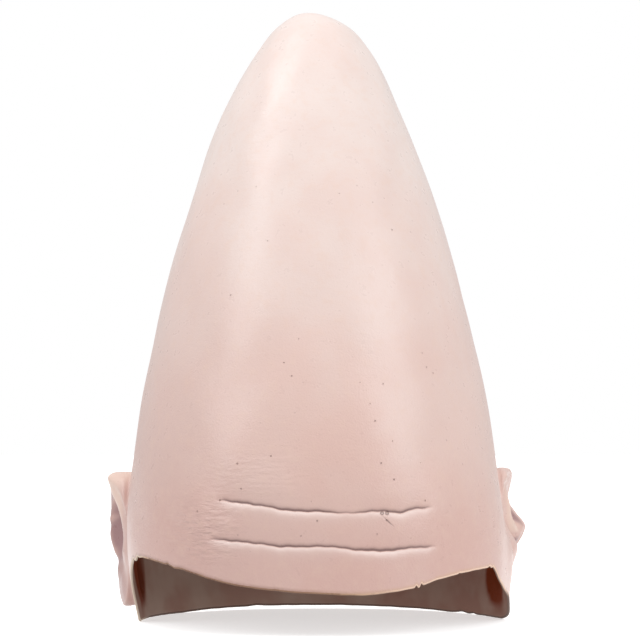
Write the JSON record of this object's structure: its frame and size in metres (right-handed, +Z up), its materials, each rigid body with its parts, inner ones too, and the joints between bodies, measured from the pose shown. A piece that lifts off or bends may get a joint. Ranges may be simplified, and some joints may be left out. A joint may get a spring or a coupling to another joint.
{
  "type": "pointed bald cap",
  "caption": "Hollow cast-latex bald cap shaped as a tall rounded cone, with a creased brow, trimmed edge, side flaps and moulded ears, worn over the whole crown of the head.",
  "frame": {"origin": "middle of the cap's outline seen from above, at the level of the trimmed edge that it stands on", "axes": "+Z up towards the tip, -Y the way the brow faces, +X the wearer's left"},
  "size_m": [0.2125, 0.2156, 0.3095],
  "materials": {
    "latex_skin": "slip-cast latex painted pale pink skin with a soft satin sheen, fine pores and creases; raw taupe-brown latex inside, rust in the ears' hollows and a tan cut edge"
  },
  "bodies": {
    "root": {"latex_cap": "latex_skin"}
  },
  "joints": []
}
